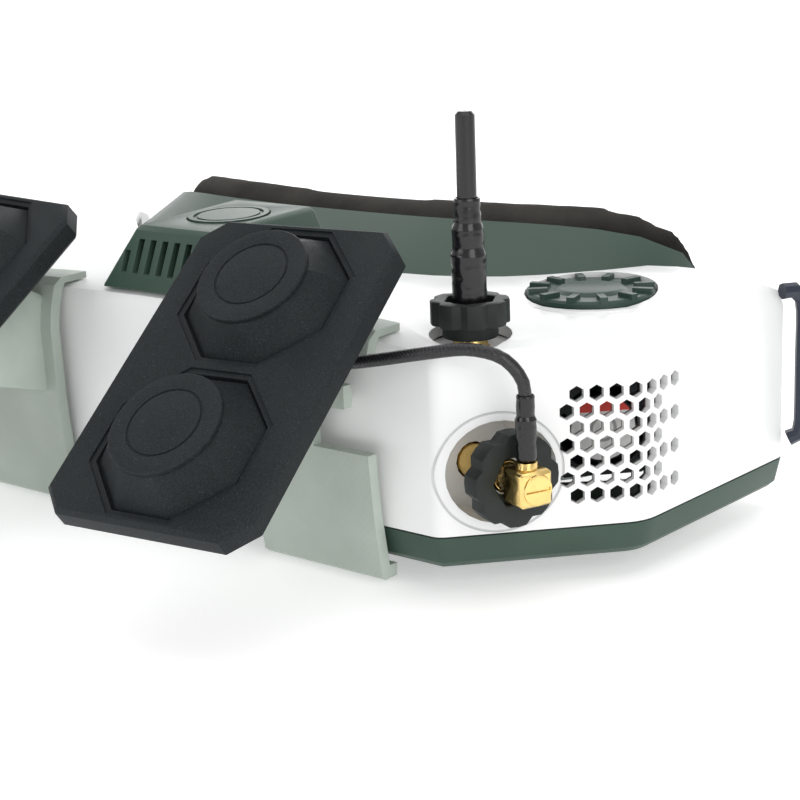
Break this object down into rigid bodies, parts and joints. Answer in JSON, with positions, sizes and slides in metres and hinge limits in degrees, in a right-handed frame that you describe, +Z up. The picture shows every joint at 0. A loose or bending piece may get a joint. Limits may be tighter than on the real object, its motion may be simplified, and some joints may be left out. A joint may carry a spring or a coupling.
{
  "type": "fpv goggles",
  "caption": "Video goggles with a hollow two-tone case, foam faceplate, sliding focusable optics, fans, a press-and-turn dial, whip antennas and clip-on patch antennas.",
  "frame": {"origin": "centre of the footprint at the height of the lowest point", "axes": "+X to the right seen from the front, +Y from the front face toward the wearer, +Z up"},
  "size_m": [0.1976, 0.138, 0.0851],
  "materials": {
    "white_shell": "satin white moulded plastic",
    "green_shell": "satin grey-green moulded plastic",
    "dial_green": "dark green moulded plastic",
    "patch_print": "charcoal sintered nylon, fine grain",
    "grey_print": "light grey printed plastic, layer lines",
    "black_plastic": "matte black plastic",
    "black_sleeve": "glossy black heat-shrink and cable jacket",
    "navy_loop": "navy black plastic",
    "gold": "gold plated brass",
    "foam": "dark brown-black foam with cloth cover",
    "board": "circuit board",
    "steel": "plain steel",
    "label": "plain printed sticker",
    "lens": "coated lens",
    "panel": "display panel"
  },
  "bodies": {
    "case": {"front_shell": "white_shell", "bottom_shell": "green_shell", "faceplate": "green_shell", "fan_cowl": "green_shell", "cowl_badge": "green_shell", "face_foam": "foam", "main_board": "board", "receiver_module": "steel", "optics_rail": "steel", "base_screw_1": "steel", "base_screw_2": "steel", "base_screw_3": "steel", "base_screw_4": "steel", "cowl_fan_frame": "black_plastic", "menu_encoder": "black_plastic", "side_fan_frame_l": "black_plastic", "side_fan_frame_r": "black_plastic", "fan_label_l": "label", "fan_label_r": "label", "sma_jack_front_l": "gold", "sma_jack_front_r": "gold", "sma_jack_top_l": "gold", "sma_jack_top_r": "gold", "elbow_plug_l": "gold", "elbow_plug_r": "gold", "lead_sleeve_l": "black_sleeve", "lead_sleeve_r": "black_sleeve", "patch_lead_l": "black_sleeve", "patch_lead_r": "black_sleeve", "whip_sleeve_l": "black_sleeve", "whip_sleeve_r": "black_sleeve", "whip_cable_l": "black_sleeve", "whip_cable_r": "black_sleeve", "patch_cover_l": "patch_print", "patch_cover_r": "patch_print", "patch_base_l": "patch_print", "patch_base_r": "patch_print", "bracket_l": "grey_print", "bracket_r": "grey_print", "strap_loop_l": "navy_loop", "strap_loop_r": "navy_loop"},
    "dial_shaft": {"dial_shaft": "steel"},
    "menu_dial": {"menu_dial": "dial_green"},
    "cowl_fan_rotor": {"cowl_fan_rotor": "black_plastic"},
    "optic_l": {"optic_barrel_l": "black_plastic", "display_panel_l": "panel", "ipd_slider_l": "black_plastic"},
    "focus_l": {"focus_ring_l": "black_plastic", "eyepiece_lens_l": "lens"},
    "side_fan_rotor_l": {"side_fan_rotor_l": "black_plastic"},
    "thumb_nut_front_l": {"thumb_nut_front_l": "black_plastic"},
    "thumb_nut_top_l": {"thumb_nut_top_l": "black_plastic"},
    "optic_r": {"optic_barrel_r": "black_plastic", "display_panel_r": "panel", "ipd_slider_r": "black_plastic"},
    "focus_r": {"focus_ring_r": "black_plastic", "eyepiece_lens_r": "lens"},
    "side_fan_rotor_r": {"side_fan_rotor_r": "black_plastic"},
    "thumb_nut_front_r": {"thumb_nut_front_r": "black_plastic"},
    "thumb_nut_top_r": {"thumb_nut_top_r": "black_plastic"}
  },
  "joints": [
    {"name": "dial_press", "type": "slide", "parent": "case", "child": "dial_shaft", "axis": [0, 0, -1], "range_m": [0, 0.0006], "stiffness_N_per_m": 600, "springref_m": -0.0006},
    {"name": "dial_spin", "type": "hinge", "parent": "dial_shaft", "child": "menu_dial", "pos_m": [0.0717, 0.02702, 0.0485], "axis": [0, 0, 1], "continuous": true},
    {"name": "cowl_fan_spin", "type": "hinge", "parent": "case", "child": "cowl_fan_rotor", "pos_m": [0, 0.00372, 0.05202], "axis": [0, 0, 1], "continuous": true},
    {"name": "ipd_slide_l", "type": "slide", "parent": "case", "child": "optic_l", "axis": [-1, 0, 0], "range_m": [-0.0032, 0.0032]},
    {"name": "focus_turn_l", "type": "hinge", "parent": "optic_l", "child": "focus_l", "pos_m": [-0.03175, 0.02622, 0.02812], "axis": [0, 1, 0], "range_deg": [-75, 75]},
    {"name": "side_fan_spin_l", "type": "hinge", "parent": "case", "child": "side_fan_rotor_l", "pos_m": [-0.08259, 0.01292, 0.02752], "axis": [-0.7408, -0.6717, 0], "continuous": true},
    {"name": "thumb_nut_front_spin_l", "type": "hinge", "parent": "case", "child": "thumb_nut_front_l", "pos_m": [-0.075, -0.00748, 0.02252], "axis": [-0.9233, -0.3841, 0], "continuous": true},
    {"name": "thumb_nut_top_spin_l", "type": "hinge", "parent": "case", "child": "thumb_nut_top_l", "pos_m": [-0.067, -0.00418, 0.04522], "axis": [0, 0, 1], "continuous": true},
    {"name": "ipd_slide_r", "type": "slide", "parent": "case", "child": "optic_r", "axis": [1, 0, 0], "range_m": [-0.0032, 0.0032]},
    {"name": "focus_turn_r", "type": "hinge", "parent": "optic_r", "child": "focus_r", "pos_m": [0.03175, 0.02622, 0.02812], "axis": [0, 1, 0], "range_deg": [-75, 75]},
    {"name": "side_fan_spin_r", "type": "hinge", "parent": "case", "child": "side_fan_rotor_r", "pos_m": [0.08259, 0.01292, 0.02752], "axis": [0.7408, -0.6717, 0], "continuous": true},
    {"name": "thumb_nut_front_spin_r", "type": "hinge", "parent": "case", "child": "thumb_nut_front_r", "pos_m": [0.075, -0.00748, 0.02252], "axis": [0.9233, -0.3841, 0], "continuous": true},
    {"name": "thumb_nut_top_spin_r", "type": "hinge", "parent": "case", "child": "thumb_nut_top_r", "pos_m": [0.067, -0.00418, 0.04522], "axis": [0, 0, 1], "continuous": true}
  ]
}
